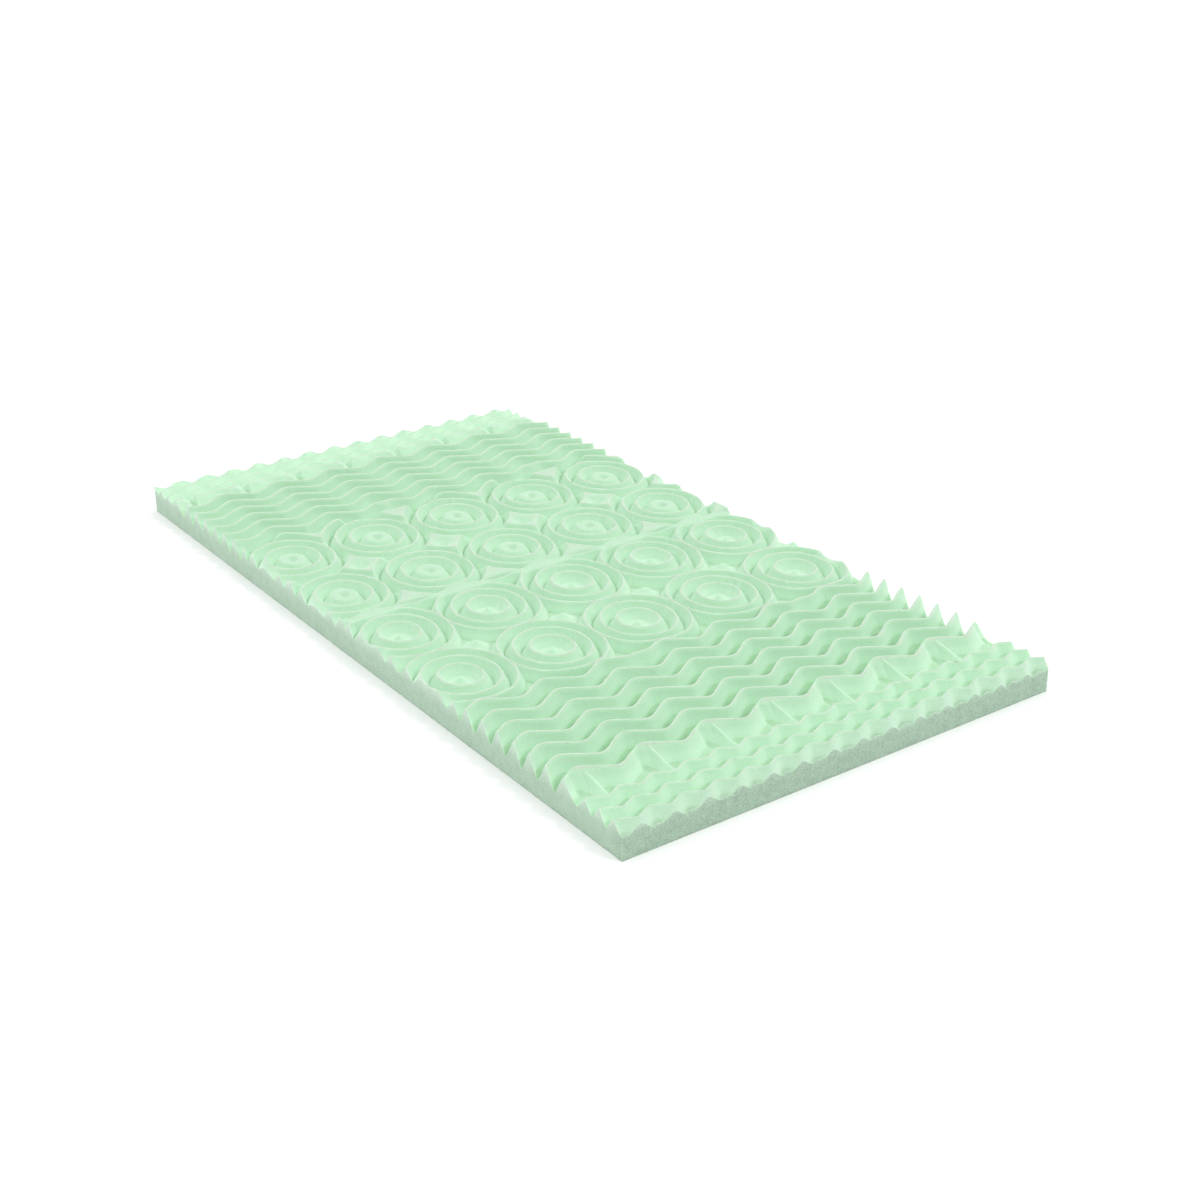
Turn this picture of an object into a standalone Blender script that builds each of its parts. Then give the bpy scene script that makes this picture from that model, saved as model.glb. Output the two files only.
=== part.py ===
"""Profile-cut foam mattress topper for a 39 by 75 inch bed.

One slab of foam with a flat underside and plain cut sides. Its upper face is cut in one pass
into a relief: four rows of concentric rings across the middle, seven zigzag ridges on either
side of them, a row of fins, and finer zigzags along the two short ends. The relief of the head
half is the mirrored negative of the foot half, as when two toppers are parted from one block.

The origin is in the middle of the underside, +X runs across the bed, +Y towards the head.
"""

import collections
import math

import bmesh
import bpy
import numpy as np
from mathutils import Matrix

# The slab
LENGTH = 1.905
WIDTH = 0.9906
THICKNESS = 0.0762
VALLEY_HEIGHT = 0.036

# The relief, measured in steps of one repeat across the slab
REPEAT = 0.4113
PATTERN_TURN = 0.0048
TIP_X = -0.050
MIDLINE_Y = 0.003

# The saddles that join the two halves, widest between two rings and narrow between them
SADDLE_Y = -0.005
SADDLE_WIDEST = 0.028
SADDLE_NARROWEST = 0.012
SADDLE_EDGE = 0.014
SADDLE_LEVEL = 0.7

# Rings: two across each repeat, three ridges round each centre that crowd outwards, a dish in
# the centre, and knobs in it and in each gap; its radii are in steps from ridge to ridge
RING_PITCH_X = REPEAT / 2
RING_PITCH_Y = 0.2308
RING_X = TIP_X + REPEAT / 12
RIDGES_PER_HALF_PITCH = 3
RING_CROWDING = 1.22
DISH_PHASE = 0.62
DISH_RADIUS = 0.82
DISH_DEPTH = 0.30
KNOB_RADIUS = 0.26
KNOB_RISE = 1.25
GAP_KNOB_RADIUS = 0.019
GAP_KNOB_RISE = 1.5

# Zigzags, counted from the rings towards the foot: first_crest is where the tips of the first
# ridge lie along the slab, and depth is how far its lows lie beyond them
Zigzag = collections.namedtuple("Zigzag", "first_crest crests spacing pitch depth tip_x")
COARSE = Zigzag(first_crest=-0.461, crests=7, spacing=0.0508, pitch=REPEAT / 3, depth=0.036, tip_x=TIP_X)
FINE = Zigzag(first_crest=-0.848, crests=4, spacing=0.0409, pitch=REPEAT / 6, depth=0.015, tip_x=RING_X)
ZIGZAG_STRAIGHTNESS = 0.80

# The bow of the first coarse zigzag between two rings
BOW_X = TIP_X - REPEAT / 6
BOW_RISE = 0.020
BOW_HALF_WIDTH = 0.024

# Fins below the last coarse zigzag, each with a hollow beside it
FIN_SHIFT = 0.010
FIN_LEFT = 0.024
FIN_RIGHT = 0.015
FIN_DROP = 0.65
HOLLOW_SHIFT = -0.014
HOLLOW_HALF_WIDTH = 0.011
HOLLOW_BEYOND = 0.030
HOLLOW_REACH = 0.022
HOLLOW_DEPTH = 0.75

# The profile of a ridge
FLANK_STRAIGHTNESS = 0.96

# The cut is shallower in the rings, where it also lies a little higher, and in the fine zigzags
RING_SHARE = 0.60
RING_LIFT = 0.15
RINGS_END = 0.425
RINGS_BLEND = 0.045
FINE_SHARE = 0.60
FINE_BEGINS = 0.795
FINE_BLEND = 0.045

# The relief of the head half flattens towards the end of the slab
HEAD_FADE_START = 0.80
HEAD_FADE_END = 0.88
HEAD_FADE = 0.45

# The mesh: the grid that is cut, and how many of its triangles are kept
GRID_STEP = 0.0045
KEPT_TRIANGLES = 10000
UNFOLDING_ROUNDS = 5
STEEPEST_NORMAL = 0.05

FOAM_COLOUR = (0.60, 0.86, 0.66, 1.0)
FOAM_ROUGHNESS = 0.95


def rounded_swing(angle, straightness):
    """A cosine whose flanks are drawn straight: 0 leaves it as it is, 1 makes a sharp zigzag."""
    return np.arcsin(straightness * np.cos(angle)) / math.asin(straightness)


def ridge_profile(phase):
    """Goes from 1 on a crest, at whole numbers of phase, to -1 in a valley half way between."""
    return rounded_swing(2 * math.pi * phase, FLANK_STRAIGHTNESS)


def bell(value, width):
    """1 where the value is 0, falling to nothing on either side."""
    return np.exp(-((value / width) ** 2))


def smooth_step(value):
    """Rises from 0 to 1 as value does, level at both ends."""
    value = np.clip(value, 0, 1)
    return value * value * (3 - 2 * value)


def to_nearest(value, first, pitch):
    """The signed distance from value to the nearest point of the row first + n * pitch."""
    return (value - first + pitch / 2) % pitch - pitch / 2


def zigzag_line(u, zone):
    """The first crest of a zone, whose upward tips are at tip_x + n * pitch."""
    swing = rounded_swing(2 * math.pi * (u - zone.tip_x) / zone.pitch, ZIGZAG_STRAIGHTNESS)
    return zone.first_crest - zone.depth * (1 - swing) / 2


def rings(u, v):
    """Concentric ridges round each centre, a knob in it, and a knob in each gap between four."""
    half_pitch_y = RING_PITCH_Y / 2
    across = to_nearest(u, RING_X, RING_PITCH_X) / (RING_PITCH_X / 2)
    row_centre = -half_pitch_y - RING_PITCH_Y * (v < -RING_PITCH_Y)
    along = (v - row_centre) / half_pitch_y
    away = np.hypot(across, along)
    phase = RIDGES_PER_HALF_PITCH * away**RING_CROWDING
    height = ridge_profile(np.clip(phase, DISH_PHASE, RIDGES_PER_HALF_PITCH + 0.5))
    steps = away * RIDGES_PER_HALF_PITCH
    dish = DISH_DEPTH * np.clip(1 - steps / DISH_RADIUS, 0, 1)
    height = height - dish + KNOB_RISE * bell(steps, KNOB_RADIUS)
    gap_x = to_nearest(u, RING_X + RING_PITCH_X / 2, RING_PITCH_X)
    gap_y = v + RING_PITCH_Y
    return height + GAP_KNOB_RISE * bell(np.hypot(gap_x, gap_y), GAP_KNOB_RADIUS)


def bow(u):
    """How far the first coarse zigzag bows up towards the gap between two rings."""
    return BOW_RISE * bell(to_nearest(u, BOW_X, REPEAT), BOW_HALF_WIDTH)


def zigzags(u, v, zone, rise):
    """The ridges of one zone, the first of them raised, with a valley on its far side."""
    phase = (zigzag_line(u, zone) - v) / zone.spacing
    phase = phase + rise / zone.spacing * np.clip(1 - phase, 0, 1)
    return ridge_profile(np.clip(phase, -0.5, zone.crests - 0.5))


def long_flank(u, v):
    """The far side of the last coarse ridge, which falls gently to the first fine valley."""
    top = zigzag_line(u, COARSE) - (COARSE.crests - 1) * COARSE.spacing
    foot = zigzag_line(u, FINE) + FINE.spacing / 2
    height = ridge_profile(np.clip((top - v) / (top - foot), 0, 1) / 2)
    return np.where(v < top, height, -1)


def fins(u, v):
    """Narrow ridges from the tips of the last coarse zigzag down to the first fine one."""
    top = COARSE.first_crest - (COARSE.crests - 1) * COARSE.spacing
    bottom = FINE.first_crest - FINE.depth
    along = np.clip((top - v) / (top - bottom), 0, 1)
    away = to_nearest(u, COARSE.tip_x + FIN_SHIFT, COARSE.pitch)
    half_width = np.where(away > 0, FIN_RIGHT, FIN_LEFT)
    phase = np.clip(away / (2 * half_width), -0.5, 0.5)
    height = ridge_profile(phase) - FIN_DROP * along
    return np.where((v < top) & (v > bottom), np.maximum(height, -1), -1)


def hollows(u, v):
    """How much is scooped out beside each fin."""
    across = bell(to_nearest(u, COARSE.tip_x + HOLLOW_SHIFT, COARSE.pitch), HOLLOW_HALF_WIDTH)
    middle = COARSE.first_crest - (COARSE.crests - 1) * COARSE.spacing - HOLLOW_BEYOND
    return HOLLOW_DEPTH * across * bell(v - middle, HOLLOW_REACH)


def foot_relief(u, v):
    """The relief of the foot half, from -1 in the valleys to 1 on the crests, for v below 0."""
    ridges = [rings(u, v), zigzags(u, v, COARSE, bow(u)), zigzags(u, v, FINE, 0)]
    height = np.maximum.reduce(ridges + [long_flank(u, v), fins(u, v)])
    return np.maximum(height - hollows(u, v), -1)


def relief(x, y):
    """The height of the upper face at x, y."""
    u = x + PATTERN_TURN * y
    v = y - PATTERN_TURN * x - MIDLINE_Y
    height = foot_relief(u, -np.abs(v)) * np.where(v > 0, -1, 1)
    over_ring = 0.5 + 0.5 * np.cos(2 * math.pi * (u - RING_X) / RING_PITCH_X)
    reach = SADDLE_NARROWEST + (SADDLE_WIDEST - SADDLE_NARROWEST) * over_ring
    saddle = smooth_step((reach - np.abs(v - SADDLE_Y)) / SADDLE_EDGE)
    height = height + (SADDLE_LEVEL - height) * saddle
    in_rings = 1 - smooth_step((np.abs(v) - RINGS_END) / RINGS_BLEND)
    in_fine = smooth_step((np.abs(v) - FINE_BEGINS) / FINE_BLEND)
    share = 1 - (1 - RING_SHARE) * in_rings - (1 - FINE_SHARE) * in_fine
    faded = smooth_step((v - HEAD_FADE_START) / (HEAD_FADE_END - HEAD_FADE_START))
    share = share * (1 - HEAD_FADE * faded)
    middle = (THICKNESS + VALLEY_HEIGHT) / 2
    half_depth = (THICKNESS - VALLEY_HEIGHT) / 2
    return middle + (height * share + RING_LIFT * in_rings) * half_depth


def foam_material():
    material = bpy.data.materials.new("mint_foam")
    material.use_nodes = True
    shader = material.node_tree.nodes["Principled BSDF"]
    shader.inputs["Base Color"].default_value = FOAM_COLOUR
    shader.inputs["Roughness"].default_value = FOAM_ROUGHNESS
    shader.inputs["Metallic"].default_value = 0.0
    return material


def upper_face():
    """The relief as an open sheet on a fine grid, thinned where it is nearly flat."""
    sheet = bmesh.new()
    columns = round(WIDTH / GRID_STEP)
    rows = round(LENGTH / GRID_STEP)
    plan = Matrix.Diagonal((WIDTH, LENGTH, 1, 1))
    bmesh.ops.create_grid(sheet, x_segments=columns, y_segments=rows, size=0.5, matrix=plan)
    set_on_relief(sheet.verts)
    bmesh.ops.triangulate(sheet, faces=sheet.faces)
    mesh = bpy.data.meshes.new("upper_face")
    triangles = len(sheet.faces)
    sheet.to_mesh(mesh)
    sheet.free()

    fine = bpy.data.objects.new("upper_face", mesh)
    bpy.context.scene.collection.objects.link(fine)
    thinning = fine.modifiers.new("thinning", "DECIMATE")
    thinning.ratio = KEPT_TRIANGLES / triangles
    bpy.context.view_layer.update()
    graph = bpy.context.evaluated_depsgraph_get()
    thinned = bpy.data.meshes.new_from_object(fine.evaluated_get(graph))
    bpy.data.objects.remove(fine)
    return thinned


def set_on_relief(points):
    """Moves points to the height of the relief at their own x and y."""
    places = np.array([point.co[:] for point in points])
    heights = relief(places[:, 0], places[:, 1])
    for point, height in zip(points, heights):
        point.co.z = height


def square_up(shell):
    """Puts the points of the rim back on the four cut sides, and one of them on each corner."""
    rim = [point for point in shell.verts if point.is_boundary]
    for point in rim:
        side_gap = WIDTH / 2 - abs(point.co.x)
        end_gap = LENGTH / 2 - abs(point.co.y)
        if side_gap < end_gap:
            point.co.x = math.copysign(WIDTH / 2, point.co.x)
        else:
            point.co.y = math.copysign(LENGTH / 2, point.co.y)
    for x in (-WIDTH / 2, WIDTH / 2):
        for y in (-LENGTH / 2, LENGTH / 2):
            corner = min(rim, key=lambda point: math.hypot(point.co.x - x, point.co.y - y))
            corner.co.x = x
            corner.co.y = y


def unfold(shell):
    """Turns the longest edge of each triangle that leans over, until none does."""
    for _ in range(UNFOLDING_ROUNDS):
        shell.normal_update()
        leaning = [face for face in shell.faces if face.normal.z < STEEPEST_NORMAL]
        for face in leaning:
            if face.is_valid:
                longest = max(face.edges, key=lambda edge: edge.calc_length())
                bmesh.utils.edge_rotate(longest, True)


def cut_slab(collection):
    """The upper face with its rim drawn down to the underside and closed."""
    sheet = upper_face()
    shell = bmesh.new()
    shell.from_mesh(sheet)
    bpy.data.meshes.remove(sheet)
    square_up(shell)
    set_on_relief(shell.verts)
    unfold(shell)
    rim = [edge for edge in shell.edges if edge.is_boundary]
    drawn = bmesh.ops.extrude_edge_only(shell, edges=rim)["geom"]
    for piece in drawn:
        if isinstance(piece, bmesh.types.BMVert):
            piece.co.z = 0
    lower_rim = [edge for edge in shell.edges if edge.is_boundary]
    bmesh.ops.holes_fill(shell, edges=lower_rim, sides=0)
    bmesh.ops.recalc_face_normals(shell, faces=shell.faces)
    mesh = bpy.data.meshes.new("foam_slab")
    shell.to_mesh(mesh)
    shell.free()
    mesh.materials.append(foam_material())
    slab = bpy.data.objects.new("foam_slab", mesh)
    collection.objects.link(slab)


def main():
    for old in list(bpy.data.objects):
        bpy.data.objects.remove(old)
    collection = bpy.data.collections.new("mattress_topper")
    bpy.context.scene.collection.children.link(collection)
    cut_slab(collection)


main()
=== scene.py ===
"""Dresses the foam mattress topper: one slab of mint foam, cut into rings and zigzags.

The slab is made by Geometry Nodes. A first tree lays a fine grid over the slab and gives every
point of it the height of the cut relief; the sheet is then thinned, and a second tree draws its
rim down to the floor and closes the underside. The sums are those of the solid in the frame.
"""

import math
from types import SimpleNamespace

import bpy
from mathutils import Matrix, Vector


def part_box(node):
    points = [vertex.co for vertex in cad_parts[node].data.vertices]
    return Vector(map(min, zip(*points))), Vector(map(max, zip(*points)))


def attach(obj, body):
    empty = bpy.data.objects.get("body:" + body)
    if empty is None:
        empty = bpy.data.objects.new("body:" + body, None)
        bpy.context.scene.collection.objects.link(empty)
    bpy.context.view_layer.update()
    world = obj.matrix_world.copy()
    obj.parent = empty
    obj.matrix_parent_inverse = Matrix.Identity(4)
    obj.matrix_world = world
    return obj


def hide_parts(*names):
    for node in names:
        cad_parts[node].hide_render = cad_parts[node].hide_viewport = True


bl_info = {
    "name": "Profile-Cut Foam Topper",
    "version": (1, 0, 0),
    "blender": (4, 5, 0),
    "location": "3D View > Sidebar > Topper",
    "description": "Models a foam mattress topper with a profile-cut upper face",
    "category": "Add Mesh",
}

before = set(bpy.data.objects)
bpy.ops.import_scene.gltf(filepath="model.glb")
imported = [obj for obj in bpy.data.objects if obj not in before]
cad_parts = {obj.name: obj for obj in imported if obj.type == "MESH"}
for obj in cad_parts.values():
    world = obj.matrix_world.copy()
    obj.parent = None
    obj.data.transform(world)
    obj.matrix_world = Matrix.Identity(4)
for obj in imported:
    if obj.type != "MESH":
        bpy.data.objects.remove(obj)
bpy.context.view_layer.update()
SLAB_NODE = "foam_slab"
SLAB_LOW, SLAB_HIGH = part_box(SLAB_NODE)
WIDTH, LENGTH, THICKNESS = SLAB_HIGH - SLAB_LOW
BODY = "root"

TURN = 2 * math.pi
WHITE = (1.0, 1.0, 1.0, 1.0)
BLACK = (0.0, 0.0, 0.0, 1.0)

# One repeat of the pattern holds two rings, three tips of a coarse zigzag and six of a fine one
RINGS_PER_REPEAT = 2
COARSE_PER_REPEAT = 3
FINE_PER_REPEAT = 6

# The profile of a ridge: how straight its flanks and its zigzags are drawn, from 0 to 1
FLANK_STRAIGHTNESS = 0.96
ZIGZAG_STRAIGHTNESS = 0.80

# Rings: how they crowd outwards, the dish in each centre, and the knobs in it and in each gap
RIDGES_PER_HALF_PITCH = 3
RING_CROWDING = 1.22
DISH_PHASE = 0.62
DISH_RADIUS = 0.82
DISH_DEPTH = 0.30
KNOB_RADIUS = 0.26
KNOB_RISE = 1.25
GAP_KNOB_RADIUS = 0.019
GAP_KNOB_RISE = 1.5

# The saddles that join the two halves, and the place of the line between them
MIDLINE_Y = 0.003
SADDLE_Y = -0.005
SADDLE_WIDEST = 0.028
SADDLE_NARROWEST = 0.012
SADDLE_EDGE = 0.014
SADDLE_LEVEL = 0.7

# The bow of the first coarse zigzag between two rings
BOW_RISE = 0.020
BOW_HALF_WIDTH = 0.024

# Fins below the last coarse zigzag, each with a hollow beside it
FIN_SHIFT = 0.010
FIN_LEFT = 0.024
FIN_RIGHT = 0.015
FIN_DROP = 0.65
HOLLOW_SHIFT = -0.014
HOLLOW_HALF_WIDTH = 0.011
HOLLOW_BEYOND = 0.030
HOLLOW_REACH = 0.022
HOLLOW_DEPTH = 0.75

# The cut is shallower in the rings, where it also lies a little higher, and in the fine zigzags
RING_SHARE = 0.60
RING_LIFT = 0.15
RINGS_END = 0.425
RINGS_BLEND = 0.045
FINE_SHARE = 0.60
FINE_BEGINS = 0.795
FINE_BLEND = 0.045

# The relief of the head half flattens towards the end of the slab
HEAD_FADE_START = 0.80
HEAD_FADE_END = 0.88
HEAD_FADE = 0.45

# The slow noise that makes the ridges wander
WANDER_DETAIL = 1.0

# The mesh: how many triangles the upper face keeps, how near a side a point has to be to be
# drawn onto it, how near points are welded, and how much a profile-cut face looks up at least
UPPER_TRIANGLES = 184000
RIM_REACH = 0.0004
WELD_DISTANCE = 0.00002
LOOKS_UP = 0.05

# What the points of the upper face carry for its material: how much of a crest there is, up to
# 1, and how much of a flat top, which gets the painted shade of a top and none of a crest
CREST_MARK = "crest"
FLAT_MARK = "flat_top"
RING_CRESTS_WIDER = 0.08
GAP_TOP_REACH = 0.036
DOME_REACH = 0.040
DOME_EDGE = 0.012

# The crest mark and the heights at which painted shade and painted light on the upper face change
CREST_STARTS = 0.78
CREST_FULL = 0.95
LOW_STARTS = 0.066
LOW_FULL = 0.052
PIT_STARTS = 0.0490
PIT_FULL = 0.0474
PITS_HIGHER_TO_HEAD = 0.003
TOP_STARTS = 0.058
TOP_FULL = 0.072
FLANK_TOP_SHARE = 0.5

# Towards the foot end the upper face is duller, and painted shade darkens the sides
FOOT_FROM = 0.915
FOOT_FULL = 0.950
FOOT_DULLER = 0.45
FOOT_PAINTED_SHADE = 0.13

# The sides are paler towards their upper edge
PALE_FROM = 0.034
PALE_FULL = 0.066
PALE_SHARE = 0.65

# Grain, cells and patches: how much they change the colour, how fine they are and how deep
PROFILE_GRAIN = 0.20
STRAIGHT_GRAIN = 0.55
GRAINS_PER_CELL = 0.8
GRAIN_DETAIL = 3.0
PROFILE_CELL_DEPTH = 0.0004
STRAIGHT_CELL_DEPTH = 0.0008
PATCH_FINENESS = 60.0
PATCH_DETAIL = 2.0
PATCH_SHARE = 0.14

# How much the foam shines, how much light it lets through, and how far each colour of it goes
SHINE = 0.15
LIGHT_THROUGH = 0.8
REACH_PER_COLOUR = (1.0, 1.0, 1.0)

# The direction in which the lamp shines: from beyond the foot, from the right and from above
KEY_SHINES = (-0.40, 0.62, -0.85)

# The camera, as found from the corners and ridges of the slab
CAMERA_PLACE = (-1.9089, -2.9318, 1.5744)
CAMERA_YAW = math.radians(-34.85)
CAMERA_PITCH = math.radians(24.57)
CAMERA_ROLL = math.radians(-0.87)
CAMERA_LENS = 53.61
CAMERA_SENSOR = 36.0


# Sizes and finishes that a user may change


class CutSizes(bpy.types.PropertyGroup):
    grid_step: bpy.props.FloatProperty(
        name="Grid Step", description="Spacing of the points that are cut",
        default=0.0026, unit="LENGTH",
    )
    valley_height: bpy.props.FloatProperty(
        name="Valley Height", description="Foam left under a valley",
        default=0.036, unit="LENGTH",
    )
    repeat: bpy.props.FloatProperty(
        name="Repeat", description="Width of one repeat of the pattern",
        default=0.4113, unit="LENGTH",
    )
    tip_x: bpy.props.FloatProperty(
        name="Tip Place", description="Place of a zigzag's tip across the slab",
        default=-0.050, unit="LENGTH",
    )
    turned: bpy.props.FloatProperty(
        name="Turned", description="How far the pattern is turned on the slab",
        default=0.0048, unit="ROTATION",
    )
    row_pitch: bpy.props.FloatProperty(
        name="Ring Row Pitch", description="Distance between two rows of rings",
        default=0.2308, unit="LENGTH",
    )
    coarse_start: bpy.props.FloatProperty(
        name="Coarse Start", description="From the middle to the first coarse zigzag",
        default=0.461, unit="LENGTH",
    )
    coarse_crests: bpy.props.IntProperty(
        name="Coarse Crests", description="Number of coarse zigzags on each side",
        default=7,
    )
    coarse_spacing: bpy.props.FloatProperty(
        name="Coarse Spacing", description="Distance between coarse zigzags",
        default=0.0508, unit="LENGTH",
    )
    coarse_depth: bpy.props.FloatProperty(
        name="Coarse Depth", description="From the tips of a coarse zigzag to its lows",
        default=0.036, unit="LENGTH",
    )
    fine_start: bpy.props.FloatProperty(
        name="Fine Start", description="From the middle to the first fine zigzag",
        default=0.848, unit="LENGTH",
    )
    fine_crests: bpy.props.IntProperty(
        name="Fine Crests", description="Number of fine zigzags at each end",
        default=4,
    )
    fine_spacing: bpy.props.FloatProperty(
        name="Fine Spacing", description="Distance between fine zigzags",
        default=0.0409, unit="LENGTH",
    )
    fine_depth: bpy.props.FloatProperty(
        name="Fine Depth", description="From the tips of a fine zigzag to its lows",
        default=0.015, unit="LENGTH",
    )
    drift: bpy.props.FloatProperty(
        name="Drift", description="How far a ridge wanders from its line",
        default=0.0022, unit="LENGTH",
    )
    drift_length: bpy.props.FloatProperty(
        name="Drift Length", description="Length over which a ridge wanders",
        default=0.11, unit="LENGTH",
    )
    unevenness: bpy.props.FloatProperty(
        name="Unevenness", description="How much the height of the cut varies",
        default=0.0012, unit="LENGTH",
    )


class FoamFinish(bpy.types.PropertyGroup):
    flank_colour: bpy.props.FloatVectorProperty(
        name="Flank Colour", description="Foam on the flanks of a ridge",
        subtype="COLOR", size=4, default=(0.52, 0.74, 0.555, 1.0),
    )
    # Painted light: foam low on a flank is lighter, to offset the shade that falls there
    low_painted_light: bpy.props.FloatVectorProperty(
        name="Low Colour", description="Foam low on a flank",
        subtype="COLOR", size=4, default=(0.565, 0.80, 0.60, 1.0),
    )
    # Painted shade: flat tops, and upper flanks by half, are darker to offset the light from above
    top_painted_shade: bpy.props.FloatVectorProperty(
        name="Top Colour", description="Foam on the flat tops",
        subtype="COLOR", size=4, default=(0.435, 0.655, 0.465, 1.0),
    )
    # Painted shade: a greyer, darker tone along the crests, to offset the extra light they catch
    crest_painted_shade: bpy.props.FloatVectorProperty(
        name="Crest Colour", description="Foam along a crest",
        subtype="COLOR", size=4, default=(0.49, 0.615, 0.49, 1.0),
    )
    # Painted shade: the dark pockets at the foot of a valley, where shadow falls
    pit_painted_shade: bpy.props.FloatVectorProperty(
        name="Pit Colour", description="Foam at the foot of a valley",
        subtype="COLOR", size=4, default=(0.49, 0.73, 0.505, 1.0),
    )
    side_colour: bpy.props.FloatVectorProperty(
        name="Side Colour", description="Foam on the straight-cut sides",
        subtype="COLOR", size=4, default=(0.405, 0.55, 0.43, 1.0),
    )
    rim_colour: bpy.props.FloatVectorProperty(
        name="Rim Colour", description="Foam along the upper edge of the sides",
        subtype="COLOR", size=4, default=(0.57, 0.71, 0.59, 1.0),
    )
    cell_size: bpy.props.FloatProperty(
        name="Cell Size", description="Width of a foam cell",
        default=0.0018, unit="LENGTH",
    )
    light_reach: bpy.props.FloatProperty(
        name="Light Reach", description="How far light spreads inside the foam",
        default=0.008, unit="LENGTH",
    )
    roughness: bpy.props.FloatProperty(
        name="Roughness", description="Roughness of the foam",
        default=0.95, subtype="FACTOR",
    )


class StageSettings(bpy.types.PropertyGroup):
    floor_colour: bpy.props.FloatVectorProperty(
        name="Floor Colour", description="Colour of the floor",
        subtype="COLOR", size=4, default=(0.97, 0.97, 0.97, 1.0),
    )
    floor_size: bpy.props.FloatProperty(
        name="Floor Size", description="Side of the square floor",
        default=40.0, unit="LENGTH",
    )
    sky_strength: bpy.props.FloatProperty(
        name="Sky Strength", description="Strength of the white surroundings",
        default=1.15,
    )
    key_strength: bpy.props.FloatProperty(
        name="Key Strength", description="Strength of the large soft lamp",
        default=0.42,
    )
    key_angle: bpy.props.FloatProperty(
        name="Key Angle", description="Angle that the soft lamp fills",
        default=math.radians(5), unit="ROTATION",
    )


# Sums in a node tree


class Value:
    """A number in a node tree, with which sums are written as in plain Python."""

    def __init__(self, tree, socket):
        self.tree = tree
        self.socket = socket

    def __add__(self, other):
        return worked("ADD", self, other)

    def __sub__(self, other):
        return worked("SUBTRACT", self, other)

    def __mul__(self, other):
        return worked("MULTIPLY", self, other)

    def __truediv__(self, other):
        return worked("DIVIDE", self, other)

    def __rsub__(self, other):
        return worked("SUBTRACT", other, self)

    def __rtruediv__(self, other):
        return worked("DIVIDE", other, self)

    def __neg__(self):
        return worked("MULTIPLY", self, -1)

    __radd__ = __add__
    __rmul__ = __mul__


def worked(operation, *parts):
    """The result of one Math node that is fed with these values and numbers."""
    tree = next(part.tree for part in parts if isinstance(part, Value))
    node = tree.nodes.new("ShaderNodeMath")
    node.operation = operation
    for socket, part in zip(node.inputs, parts):
        feed(tree, part, socket)
    return Value(tree, node.outputs[0])


def feed(tree, part, socket):
    """Links a value to a socket, or sets a number on it."""
    if isinstance(part, Value):
        tree.links.new(part.socket, socket)
    else:
        socket.default_value = part


def placed(tree, kind, inputs=None, **settings):
    """A new node of a kind, with its settings and what its named inputs are fed with."""
    node = tree.nodes.new(kind)
    for name, setting in settings.items():
        setattr(node, name, setting)
    for name, part in (inputs or {}).items():
        if isinstance(part, bpy.types.NodeSocket):
            tree.links.new(part, node.inputs[name])
        else:
            feed(tree, part, node.inputs[name])
    return node


def axes_of(tree, vector):
    """The three numbers of a vector socket."""
    apart = placed(tree, "ShaderNodeSeparateXYZ", {"Vector": vector})
    return [Value(tree, output) for output in apart.outputs]


def vector_of(tree, x, y, z):
    """One vector socket made of three numbers."""
    return placed(tree, "ShaderNodeCombineXYZ", {"X": x, "Y": y, "Z": z}).outputs["Vector"]


def own_axes(tree):
    """The place of each point in a geometry tree."""
    return axes_of(tree, tree.nodes.new("GeometryNodeInputPosition").outputs["Position"])


def drawn_swing(angle, straightness):
    """A cosine whose flanks are drawn straight: near 1 it is a sharp zigzag."""
    bent = worked("ARCSINE", straightness * worked("COSINE", angle))
    return bent / math.asin(straightness)


def ridge_profile(phase):
    """Goes from 1 on a crest, at whole numbers of phase, to -1 in a valley half way between."""
    return drawn_swing(TURN * phase, FLANK_STRAIGHTNESS)


def bell(value, width):
    """1 where the value is 0, falling to nothing on either side."""
    share = value / width
    return worked("EXPONENT", -(share * share))


def lesser(first, second):
    return worked("MINIMUM", first, second)


def greater(first, second):
    return worked("MAXIMUM", first, second)


def size_of(value):
    return worked("ABSOLUTE", value)


def clamped(value, low, high):
    return lesser(greater(value, low), high)


def distance(across, along):
    """How far off a place is that lies this far across and this far along."""
    return worked("SQRT", across * across + along * along)


def smooth_step(value):
    """Rises from 0 to 1 as value does, level at both ends."""
    value = clamped(value, 0, 1)
    return value * value * (3 - 2 * value)


def chosen(test, yes, no):
    """The value yes where the test is 1, and no where it is 0."""
    return no + test * (yes - no)


def to_nearest(value, first, pitch):
    """The signed distance from value to the nearest point of the row first + n * pitch."""
    return worked("FLOORED_MODULO", value - first + pitch / 2, pitch) - pitch / 2


# The cut relief


def zigzag_line(u, zone):
    """The first crest of a zone, whose upward tips are at tip_x + n * pitch."""
    swing = drawn_swing(TURN * (u - zone.tip_x) / zone.pitch, ZIGZAG_STRAIGHTNESS)
    return -zone.start - zone.depth * (1 - swing) / 2


def last_tips(zone):
    """The place along the slab of the upward tips of a zone's last crest."""
    return -zone.start - (zone.crests - 1) * zone.spacing


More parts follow.
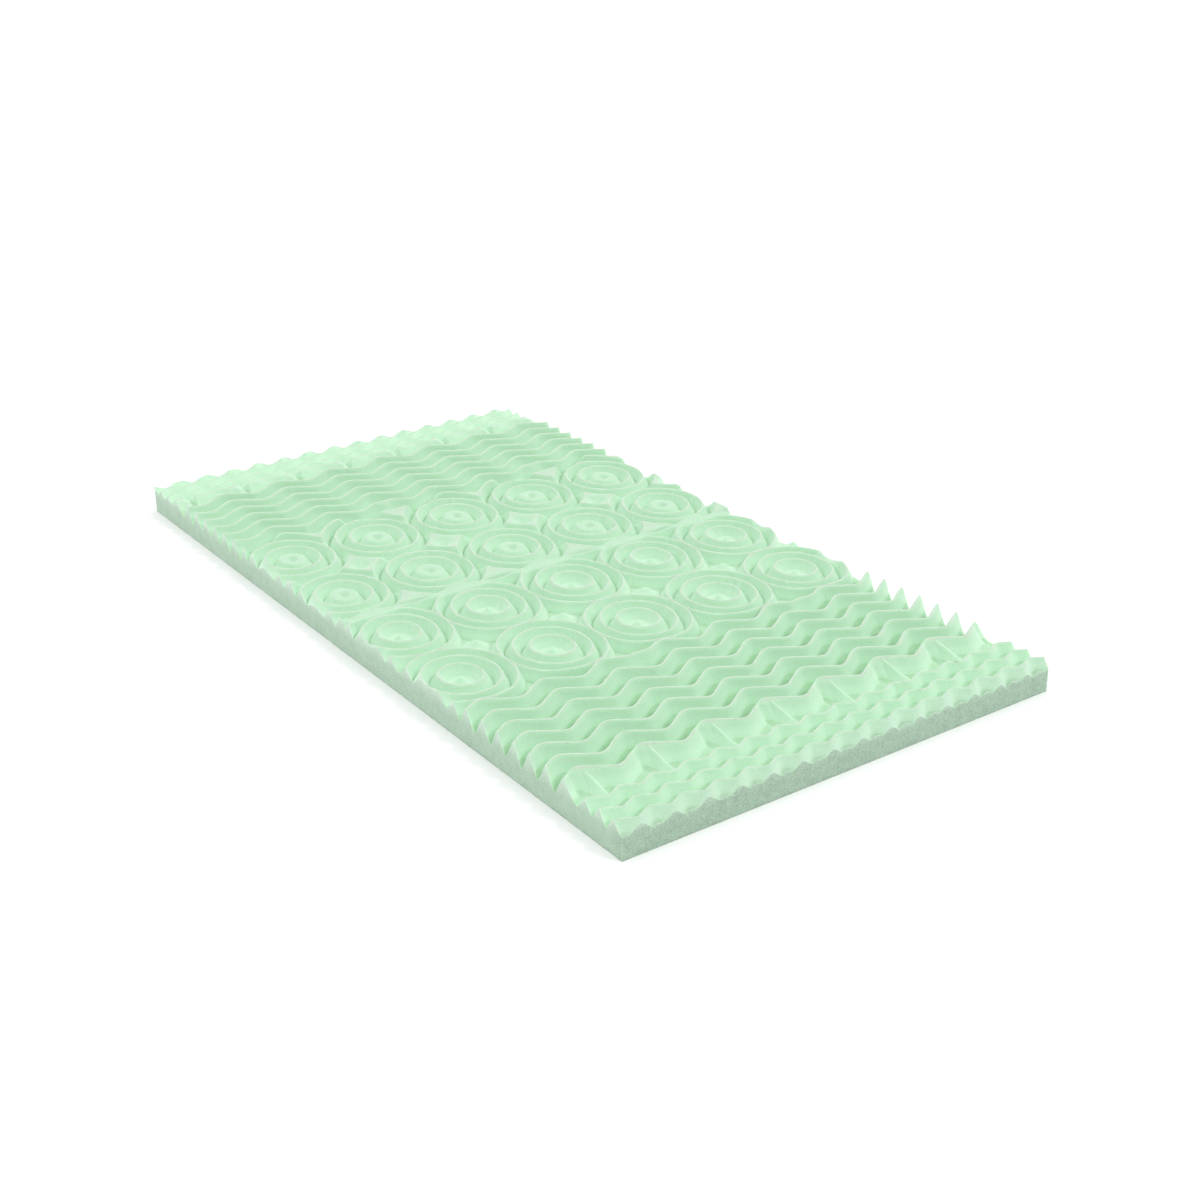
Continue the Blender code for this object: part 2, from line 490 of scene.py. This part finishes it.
def rings(u, v, cut):
    """Concentric ridges round each centre, a knob in it, and a knob in each gap between four."""
    half_pitch_y = cut.row_pitch / 2
    across = to_nearest(u, cut.ring_x, cut.ring_pitch) / (cut.ring_pitch / 2)
    row_centre = -half_pitch_y - cut.row_pitch * worked("LESS_THAN", v, -cut.row_pitch)
    along = (v - row_centre) / half_pitch_y
    away = distance(across, along)
    phase = RIDGES_PER_HALF_PITCH * worked("POWER", away, RING_CROWDING)
    height = ridge_profile(clamped(phase, DISH_PHASE, RIDGES_PER_HALF_PITCH + 0.5))
    steps = away * RIDGES_PER_HALF_PITCH
    dish = DISH_DEPTH * clamped(1 - steps / DISH_RADIUS, 0, 1)
    height = height - dish + KNOB_RISE * bell(steps, KNOB_RADIUS)
    gap_x = to_nearest(u, cut.gap_x, cut.ring_pitch)
    from_gap = distance(gap_x, v + cut.row_pitch)
    return height + GAP_KNOB_RISE * bell(from_gap, GAP_KNOB_RADIUS)


def bow(u, cut):
    """How far the first coarse zigzag bows up towards the gap between two rings."""
    return BOW_RISE * bell(to_nearest(u, cut.tip_x - cut.fine.pitch, cut.repeat), BOW_HALF_WIDTH)


def zigzags(u, v, zone, rise):
    """The ridges of one zone, the first of them raised, with a valley on its far side."""
    phase = (zigzag_line(u, zone) - v) / zone.spacing
    phase = phase + rise / zone.spacing * clamped(1 - phase, 0, 1)
    return ridge_profile(clamped(phase, -0.5, zone.crests - 0.5))


def long_flank(u, v, cut):
    """The far side of the last coarse ridge, which falls gently to the first fine valley."""
    top = zigzag_line(u, cut.coarse) - (cut.coarse.crests - 1) * cut.coarse.spacing
    foot = zigzag_line(u, cut.fine) + cut.fine.spacing / 2
    height = ridge_profile(clamped((top - v) / (top - foot), 0, 1) / 2)
    return chosen(worked("LESS_THAN", v, top), height, -1)


def fins(u, v, cut):
    """Narrow ridges from the tips of the last coarse zigzag down to the first fine one."""
    top = last_tips(cut.coarse)
    bottom = -cut.fine.start - cut.fine.depth
    along = clamped((top - v) / (top - bottom), 0, 1)
    away = to_nearest(u, cut.tip_x + FIN_SHIFT, cut.coarse.pitch)
    half_width = chosen(worked("GREATER_THAN", away, 0), FIN_RIGHT, FIN_LEFT)
    phase = clamped(away / (2 * half_width), -0.5, 0.5)
    height = greater(ridge_profile(phase) - FIN_DROP * along, -1)
    between = worked("LESS_THAN", v, top) * worked("GREATER_THAN", v, bottom)
    return chosen(between, height, -1)


def hollows(u, v, cut):
    """How much is scooped out beside each fin."""
    across = bell(to_nearest(u, cut.tip_x + HOLLOW_SHIFT, cut.coarse.pitch), HOLLOW_HALF_WIDTH)
    middle = last_tips(cut.coarse) - HOLLOW_BEYOND
    return HOLLOW_DEPTH * across * bell(v - middle, HOLLOW_REACH)


def foot_relief(u, v, cut):
    """The relief of the foot half, from -1 in the valleys to 1 on the crests, for v below 0."""
    height = greater(rings(u, v, cut), zigzags(u, v, cut.coarse, bow(u, cut)))
    height = greater(height, zigzags(u, v, cut.fine, 0))
    height = greater(height, greater(long_flank(u, v, cut), fins(u, v, cut)))
    return greater(height - hollows(u, v, cut), -1)


def saddles(u, v, cut):
    """How much of a saddle there is: they follow the line between the halves, widest at a ring."""
    by_ring = 0.5 + 0.5 * worked("COSINE", TURN * (u - cut.ring_x) / cut.ring_pitch)
    reach = SADDLE_NARROWEST + (SADDLE_WIDEST - SADDLE_NARROWEST) * by_ring
    return smooth_step((reach - size_of(v - SADDLE_Y)) / SADDLE_EDGE)


def flat_tops(u, v, cut):
    """How much of a flat top there is, between four rings or in a ring of the head half."""
    gap_x = to_nearest(u, cut.gap_x, cut.ring_pitch)
    gap_y = to_nearest(v, 0, cut.row_pitch)
    between = bell(distance(gap_x, gap_y), GAP_TOP_REACH)
    dome_x = to_nearest(u, cut.ring_x, cut.ring_pitch)
    dome_y = to_nearest(v, cut.row_pitch / 2, cut.row_pitch)
    dome = smooth_step((DOME_REACH - distance(dome_x, dome_y)) / DOME_EDGE)
    return greater(between, dome * worked("GREATER_THAN", v, 0))


def depth_share(v, in_rings):
    """The depth of the cut along the slab, as a share of its full depth."""
    in_fine = smooth_step((size_of(v) - FINE_BEGINS) / FINE_BLEND)
    share = 1 - (1 - RING_SHARE) * in_rings - (1 - FINE_SHARE) * in_fine
    faded = smooth_step((v - HEAD_FADE_START) / (HEAD_FADE_END - HEAD_FADE_START))
    return share * (1 - HEAD_FADE * faded)


def relief(x, y, cut):
    """How much of a crest and of a flat top there is at x, y, and the height of the upper face.

    The relief of the head half is the mirrored negative of the foot half.
    """
    u = x + cut.turned * y
    v = y - cut.turned * x - MIDLINE_Y
    head_side = worked("GREATER_THAN", v, 0)
    height = foot_relief(u, -size_of(v), cut) * (1 - 2 * head_side)
    saddle = saddles(u, v, cut)
    height = height + (SADDLE_LEVEL - height) * saddle
    in_rings = 1 - smooth_step((size_of(v) - RINGS_END) / RINGS_BLEND)
    crest = height + RING_CRESTS_WIDER * in_rings
    flat = greater(flat_tops(u, v, cut) * in_rings, saddle)
    middle = (cut.thickness + cut.valley_height) / 2
    half_depth = (cut.thickness - cut.valley_height) / 2
    share = depth_share(v, in_rings)
    return crest, flat, middle + (height * share + RING_LIFT * in_rings) * half_depth


# The trees that make the slab


def new_tree(name):
    """An empty Geometry Nodes tree with one geometry in and one out."""
    tree = bpy.data.node_groups.new(name, "GeometryNodeTree")
    tree.is_modifier = True
    tree.interface.new_socket("Geometry", in_out="INPUT", socket_type="NodeSocketGeometry")
    tree.interface.new_socket("Geometry", in_out="OUTPUT", socket_type="NodeSocketGeometry")
    return tree


def add_input(tree, name, default, kind="NodeSocketFloat"):
    """A named input of a tree."""
    socket = tree.interface.new_socket(name, in_out="INPUT", socket_type=kind)
    if default is not None:
        socket.default_value = default


def sizes_of(group):
    """The properties that a PropertyGroup declares itself."""
    return [prop for prop in group.bl_rna.properties if prop.identifier in group.__annotations__]


def cut_inputs(tree, entry):
    """The inputs of the cutting tree as values, with those that are worked out from them."""
    named = {prop.identifier: Value(tree, entry.outputs[prop.name]) for prop in sizes_of(CutSizes)}
    cut = SimpleNamespace(**named)
    cut.width = Value(tree, entry.outputs["Width"])
    cut.length = Value(tree, entry.outputs["Length"])
    cut.thickness = Value(tree, entry.outputs["Thickness"])
    cut.ring_pitch = cut.repeat / RINGS_PER_REPEAT
    fine_pitch = cut.repeat / FINE_PER_REPEAT
    cut.ring_x = cut.tip_x + fine_pitch / 2
    cut.gap_x = cut.ring_x + cut.ring_pitch / 2
    cut.coarse = SimpleNamespace(
        start=cut.coarse_start, crests=cut.coarse_crests, spacing=cut.coarse_spacing,
        depth=cut.coarse_depth, pitch=cut.repeat / COARSE_PER_REPEAT, tip_x=cut.tip_x,
    )
    cut.fine = SimpleNamespace(
        start=cut.fine_start, crests=cut.fine_crests, spacing=cut.fine_spacing,
        depth=cut.fine_depth, pitch=fine_pitch, tip_x=cut.ring_x,
    )
    return cut


def wander(tree, scale):
    """Three slow noises about 0 over the slab, from -1 to 1, one for each axis."""
    noise = placed(
        tree, "ShaderNodeTexNoise", {"Scale": scale, "Detail": WANDER_DETAIL}, noise_dimensions="3D",
    )
    return [2 * part - 1 for part in axes_of(tree, noise.outputs["Color"])]


def cutting_tree():
    """Lays a grid over the slab and raises each point of it to the height of the relief."""
    tree = new_tree("Cut Relief")
    for name, default in (("Width", WIDTH), ("Length", LENGTH), ("Thickness", THICKNESS)):
        add_input(tree, name, default)
    for prop in sizes_of(CutSizes):
        kind = "NodeSocketInt" if prop.type == "INT" else "NodeSocketFloat"
        add_input(tree, prop.name, prop.default, kind)
    entry = tree.nodes.new("NodeGroupInput")
    leave = tree.nodes.new("NodeGroupOutput")
    cut = cut_inputs(tree, entry)

    columns = worked("ROUND", cut.width / cut.grid_step) + 1
    rows = worked("ROUND", cut.length / cut.grid_step) + 1
    grid = placed(
        tree, "GeometryNodeMeshGrid",
        {"Size X": cut.width, "Size Y": cut.length, "Vertices X": columns, "Vertices Y": rows},
    )
    x, y, _ = own_axes(tree)
    wander_x, wander_y, wander_z = wander(tree, 1 / cut.drift_length)
    crest, flat, height = relief(x + cut.drift * wander_x, y + cut.drift * wander_y, cut)
    height = height - cut.unevenness * (1 + wander_z) / 2
    sheet = grid.outputs["Mesh"]
    for name, mark in ((CREST_MARK, crest), (FLAT_MARK, flat)):
        marked = placed(
            tree, "GeometryNodeStoreNamedAttribute", {"Geometry": sheet, "Name": name, "Value": mark},
            data_type="FLOAT", domain="POINT",
        )
        sheet = marked.outputs["Geometry"]
    raised = placed(
        tree, "GeometryNodeSetPosition",
        {"Geometry": sheet, "Position": vector_of(tree, x, y, height)},
    )
    tree.links.new(raised.outputs["Geometry"], leave.inputs["Geometry"])
    return tree


def drawn_to_side(value, side):
    """The value itself, or the side where the value lies within reach of it."""
    near = worked("GREATER_THAN", size_of(value), side - RIM_REACH)
    return chosen(near, worked("SIGN", value) * side, value)


def closing_tree():
    """Draws the rim of the relief down to the floor and closes the underside."""
    tree = new_tree("Close Slab")
    add_input(tree, "Width", WIDTH)
    add_input(tree, "Length", LENGTH)
    add_input(tree, "Profile-Cut Foam", None, "NodeSocketMaterial")
    add_input(tree, "Straight-Cut Foam", None, "NodeSocketMaterial")
    entry = tree.nodes.new("NodeGroupInput")
    leave = tree.nodes.new("NodeGroupOutput")

    x, y, z = own_axes(tree)
    across = drawn_to_side(x, Value(tree, entry.outputs["Width"]) / 2)
    along = drawn_to_side(y, Value(tree, entry.outputs["Length"]) / 2)
    sheet = placed(
        tree, "GeometryNodeSetPosition",
        {"Geometry": entry.outputs["Geometry"], "Position": vector_of(tree, across, along, z)},
    )
    neighbours = tree.nodes.new("GeometryNodeInputMeshEdgeNeighbors")
    faces_at_edge = Value(tree, neighbours.outputs["Face Count"])
    drawn = placed(
        tree, "GeometryNodeExtrudeMesh",
        {
            "Mesh": sheet.outputs["Geometry"],
            "Selection": worked("LESS_THAN", faces_at_edge, 2),
            "Offset Scale": 0.0,
        },
        mode="EDGES",
    )
    shell = placed(
        tree, "GeometryNodeSetPosition",
        {
            "Geometry": drawn.outputs["Mesh"],
            "Selection": drawn.outputs["Top"],
            "Position": vector_of(tree, x, y, 0.0),
        },
    )
    lower_rim = placed(
        tree, "GeometryNodeMeshToCurve",
        {"Mesh": shell.outputs["Geometry"], "Selection": drawn.outputs["Top"]},
    )
    underside = placed(tree, "GeometryNodeFillCurve", {"Curve": lower_rim.outputs["Curve"]})
    turned_down = placed(tree, "GeometryNodeFlipFaces", {"Mesh": underside.outputs["Mesh"]})
    both = tree.nodes.new("GeometryNodeJoinGeometry")
    tree.links.new(shell.outputs["Geometry"], both.inputs["Geometry"])
    tree.links.new(turned_down.outputs["Mesh"], both.inputs["Geometry"])
    welded = placed(
        tree, "GeometryNodeMergeByDistance",
        {"Geometry": both.outputs["Geometry"], "Distance": WELD_DISTANCE},
    )
    _, _, upwards = axes_of(tree, tree.nodes.new("GeometryNodeInputNormal").outputs["Normal"])
    cut_by_profile = worked("GREATER_THAN", upwards, LOOKS_UP)
    shaded = placed(
        tree, "GeometryNodeSetShadeSmooth",
        {"Geometry": welded.outputs["Geometry"], "Shade Smooth": cut_by_profile},
    )
    realized = placed(tree, "GeometryNodeRealizeInstances", {"Geometry": shaded.outputs["Geometry"]})
    sides = placed(
        tree, "GeometryNodeSetMaterial",
        {"Geometry": realized.outputs["Geometry"], "Material": entry.outputs["Straight-Cut Foam"]},
    )
    upper = placed(
        tree, "GeometryNodeSetMaterial",
        {
            "Geometry": sides.outputs["Geometry"],
            "Selection": cut_by_profile,
            "Material": entry.outputs["Profile-Cut Foam"],
        },
    )
    tree.links.new(upper.outputs["Geometry"], leave.inputs["Geometry"])
    return tree


def add_nodes(piece, tree, values):
    """Gives a piece a Geometry Nodes modifier, with the values of its named inputs."""
    modifier = piece.modifiers.new(tree.name, "NODES")
    modifier.node_group = tree
    for socket in tree.interface.items_tree:
        if socket.in_out == "INPUT" and socket.name in values:
            modifier[socket.identifier] = values[socket.name]


def plain_mesh(piece, name):
    """The evaluated piece as a new plain object; the piece itself is removed."""
    bpy.context.view_layer.update()
    graph = bpy.context.evaluated_depsgraph_get()
    mesh = bpy.data.meshes.new_from_object(piece.evaluated_get(graph))
    bpy.data.objects.remove(piece)
    mesh.name = name
    plain = bpy.data.objects.new(name, mesh)
    bpy.context.scene.collection.objects.link(plain)
    return plain


# Materials


def foam_cells_group():
    """Open foam cells: their height for a bump, and a grain of paler and darker ones."""
    group = bpy.data.node_groups.new("Foam Cells", "ShaderNodeTree")
    group.interface.new_socket("Cell Size", in_out="INPUT", socket_type="NodeSocketFloat")
    group.interface.new_socket("Height", in_out="OUTPUT", socket_type="NodeSocketFloat")
    group.interface.new_socket("Grain", in_out="OUTPUT", socket_type="NodeSocketFloat")
    entry = group.nodes.new("NodeGroupInput")
    leave = group.nodes.new("NodeGroupOutput")
    place = group.nodes.new("ShaderNodeTexCoord").outputs["Object"]
    fineness = 1 / Value(group, entry.outputs["Cell Size"])
    cells = placed(group, "ShaderNodeTexVoronoi", {"Vector": place, "Scale": fineness})
    grain = placed(
        group, "ShaderNodeTexNoise",
        {"Vector": place, "Scale": fineness * GRAINS_PER_CELL, "Detail": GRAIN_DETAIL},
    )
    height = Value(group, cells.outputs["Distance"]) + Value(group, grain.outputs["Fac"])
    feed(group, height, leave.inputs["Height"])
    feed(group, Value(group, grain.outputs["Fac"]), leave.inputs["Grain"])
    return group


def blended(tree, share, first, second, blend_type="MIX"):
    """The colour socket of a Mix node between two colours."""
    mix = placed(tree, "ShaderNodeMix", data_type="RGBA", blend_type=blend_type)
    sockets = {socket.identifier: socket for socket in mix.inputs}
    for identifier, part in (("Factor_Float", share), ("A_Color", first), ("B_Color", second)):
        if isinstance(part, bpy.types.NodeSocket):
            tree.links.new(part, sockets[identifier])
        else:
            feed(tree, part, sockets[identifier])
    return next(socket for socket in mix.outputs if socket.identifier == "Result_Color")


def rising(tree, value, start, end):
    """Goes smoothly from 0 to 1 as a value goes from start to end."""
    ramp = placed(
        tree, "ShaderNodeMapRange", {"Value": value, "From Min": start, "From Max": end},
        interpolation_type="SMOOTHSTEP",
    )
    return Value(tree, ramp.outputs["Result"])


def foam_material(name, finish, cells_group, colour_of, grain_share, cell_depth):
    """A foam material: colour_of gives its colour socket, to which grain and cells are added."""
    material = bpy.data.materials.new(name)
    material.use_nodes = True
    tree = material.node_tree
    shader = tree.nodes["Principled BSDF"]
    shader.inputs["Roughness"].default_value = finish.roughness
    shader.inputs["Specular IOR Level"].default_value = SHINE
    shader.inputs["Subsurface Weight"].default_value = LIGHT_THROUGH
    shader.inputs["Subsurface Radius"].default_value = REACH_PER_COLOUR
    shader.inputs["Subsurface Scale"].default_value = finish.light_reach
    cells = placed(tree, "ShaderNodeGroup", node_tree=cells_group)
    cells.inputs["Cell Size"].default_value = finish.cell_size
    grained = blended(tree, grain_share, colour_of(tree), cells.outputs["Grain"], "OVERLAY")
    tree.links.new(grained, shader.inputs["Base Color"])
    bump = placed(
        tree, "ShaderNodeBump",
        {"Strength": 1.0, "Distance": cell_depth, "Height": cells.outputs["Height"]},
    )
    tree.links.new(bump.outputs["Normal"], shader.inputs["Normal"])
    return material


def profile_cut_foam(finish, cells_group):
    """Foam of the upper face: painted shade on crests, pits and flat tops; painted light low down."""

    def colour(tree):
        crest = placed(tree, "ShaderNodeAttribute", attribute_name=CREST_MARK).outputs["Fac"]
        flat_top = placed(tree, "ShaderNodeAttribute", attribute_name=FLAT_MARK).outputs["Fac"]
        flat = clamped(Value(tree, flat_top), 0, 1)
        place = tree.nodes.new("ShaderNodeTexCoord").outputs["Object"]
        _, along, height = axes_of(tree, place)
        pit_height = height - PITS_HIGHER_TO_HEAD * greater(along, 0)

        # Painted light low on the flanks
        lows = rising(tree, -height, -LOW_STARTS, -LOW_FULL)
        flank = blended(tree, lows, finish.flank_colour, finish.low_painted_light)
        # Painted shade in the pits, below a height that is a little higher in the head half
        pits = rising(tree, -pit_height, -PIT_STARTS, -PIT_FULL)
        lower = blended(tree, pits, flank, finish.pit_painted_shade)
        # Painted shade on the flat tops, and half of it high on the flanks
        tops = rising(tree, height, TOP_STARTS, TOP_FULL) * greater(flat, FLANK_TOP_SHARE)
        topped = blended(tree, tops, lower, finish.top_painted_shade)
        # Painted shade along the crests, except on the flat tops
        crests = rising(tree, Value(tree, crest), CREST_STARTS, CREST_FULL) * (1 - flat)
        upper = blended(tree, crests, topped, finish.crest_painted_shade)
        foot = rising(tree, -along, FOOT_FROM, FOOT_FULL) * FOOT_DULLER
        return blended(tree, foot, upper, finish.side_colour)

    return foam_material(
        "profile_cut_foam", finish, cells_group, colour, PROFILE_GRAIN, PROFILE_CELL_DEPTH
    )


def straight_cut_foam(finish, cells_group):
    """Foam of the sides and the underside, cut straight through the cells."""

    def colour(tree):
        place = tree.nodes.new("ShaderNodeTexCoord").outputs["Object"]
        _, along, height = axes_of(tree, place)
        patches = placed(
            tree, "ShaderNodeTexNoise",
            {"Vector": place, "Scale": PATCH_FINENESS, "Detail": PATCH_DETAIL},
        )
        rim = rising(tree, height, PALE_FROM, PALE_FULL) * PALE_SHARE
        paled = blended(tree, rim, finish.side_colour, finish.rim_colour)
        # Painted shade: the sides darken towards the foot end
        foot = rising(tree, -along, FOOT_FROM, FOOT_FULL) * FOOT_PAINTED_SHADE
        foot_shaded = blended(tree, foot, paled, BLACK)
        return blended(tree, PATCH_SHARE, foot_shaded, patches.outputs["Fac"], "OVERLAY")

    return foam_material(
        "straight_cut_foam", finish, cells_group, colour, STRAIGHT_GRAIN, STRAIGHT_CELL_DEPTH
    )


# The pieces


class TOPPER_OT_foam_slab(bpy.types.Operator):
    """Cut the foam slab: rings and zigzags above, straight sides and a flat underside"""

    bl_idname = "topper.foam_slab"
    bl_label = "Foam Slab"

    def execute(self, context):
        cut = context.scene.topper_cut
        finish = context.scene.topper_finish
        cells_group = foam_cells_group()
        sizes = {prop.name: getattr(cut, prop.identifier) for prop in sizes_of(CutSizes)}
        sizes.update({"Width": WIDTH, "Length": LENGTH, "Thickness": THICKNESS})
        sizes["Profile-Cut Foam"] = profile_cut_foam(finish, cells_group)
        sizes["Straight-Cut Foam"] = straight_cut_foam(finish, cells_group)

        draft = bpy.data.objects.new("draft", bpy.data.meshes.new("draft"))
        context.scene.collection.objects.link(draft)
        add_nodes(draft, cutting_tree(), sizes)
        thinning = draft.modifiers.new("Thinning", "DECIMATE")
        squares = round(WIDTH / cut.grid_step) * round(LENGTH / cut.grid_step)
        thinning.ratio = min(1, UPPER_TRIANGLES / (2 * squares))
        add_nodes(draft, closing_tree(), sizes)
        slab = plain_mesh(draft, "profile_cut_slab")

        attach(slab, BODY)
        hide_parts(SLAB_NODE)
        return {"FINISHED"}


def lay_floor(settings):
    """A plain pale floor under the slab."""
    bpy.ops.mesh.primitive_plane_add(size=settings.floor_size)
    floor = bpy.context.object
    floor.name = "floor"
    material = bpy.data.materials.new("pale_floor")
    material.use_nodes = True
    shader = material.node_tree.nodes["Principled BSDF"]
    shader.inputs["Base Color"].default_value = settings.floor_colour
    shader.inputs["Roughness"].default_value = 1.0
    shader.inputs["Specular IOR Level"].default_value = 0.0
    floor.data.materials.append(material)


def hang_lights(settings):
    """White surroundings, and one large soft lamp."""
    world = bpy.data.worlds.new("white_surroundings")
    world.use_nodes = True
    background = world.node_tree.nodes["Background"]
    background.inputs["Color"].default_value = WHITE
    background.inputs["Strength"].default_value = settings.sky_strength
    bpy.context.scene.world = world
    key = bpy.data.lights.new("key_lamp", "SUN")
    key.energy = settings.key_strength
    key.angle = settings.key_angle
    lamp = bpy.data.objects.new("key_lamp", key)
    lamp.rotation_euler = Vector(KEY_SHINES).to_track_quat("-Z", "Y").to_euler()
    bpy.context.scene.collection.objects.link(lamp)


def set_camera():
    """The camera of the photograph."""
    camera = bpy.data.cameras.new("camera")
    camera.lens = CAMERA_LENS
    camera.sensor_width = CAMERA_SENSOR
    holder = bpy.data.objects.new("camera", camera)
    bpy.context.scene.collection.objects.link(holder)
    yaw = Matrix.Rotation(CAMERA_YAW, 4, "Z")
    pitch = Matrix.Rotation(math.pi / 2 - CAMERA_PITCH, 4, "X")
    roll = Matrix.Rotation(CAMERA_ROLL, 4, "Z")
    holder.matrix_world = Matrix.Translation(CAMERA_PLACE) @ yaw @ pitch @ roll
    bpy.context.scene.camera = holder


class TOPPER_OT_stage(bpy.types.Operator):
    """Set the slab on a pale floor, with soft light and the camera"""

    bl_idname = "topper.stage"
    bl_label = "Stage"

    def execute(self, context):
        settings = context.scene.topper_stage
        lay_floor(settings)
        hang_lights(settings)
        set_camera()
        context.scene.view_settings.view_transform = "Standard"
        return {"FINISHED"}


class TOPPER_PT_panel(bpy.types.Panel):
    """The topper's sizes, finishes and pieces"""

    bl_idname = "TOPPER_PT_panel"
    bl_label = "Foam Topper"
    bl_space_type = "VIEW_3D"
    bl_region_type = "UI"
    bl_category = "Topper"

    def draw(self, context):
        layout = self.layout
        for name, operator in PANEL_ROWS:
            settings = getattr(context.scene, name)
            for prop in sizes_of(type(settings)):
                layout.prop(settings, prop.identifier)
            if operator:
                layout.operator(operator)


GROUPS = {"topper_cut": CutSizes, "topper_finish": FoamFinish, "topper_stage": StageSettings}
PANEL_ROWS = (
    ("topper_cut", None),
    ("topper_finish", TOPPER_OT_foam_slab.bl_idname),
    ("topper_stage", TOPPER_OT_stage.bl_idname),
)
CLASSES = (*GROUPS.values(), TOPPER_OT_foam_slab, TOPPER_OT_stage, TOPPER_PT_panel)


def register():
    for kind in CLASSES:
        bpy.utils.register_class(kind)
    for name, group in GROUPS.items():
        setattr(bpy.types.Scene, name, bpy.props.PointerProperty(type=group))


def unregister():
    for name in GROUPS:
        delattr(bpy.types.Scene, name)
    for kind in reversed(CLASSES):
        bpy.utils.unregister_class(kind)


def main():
    register()
    bpy.ops.topper.foam_slab()
    bpy.ops.topper.stage()


if __name__ == "__main__":
    main()
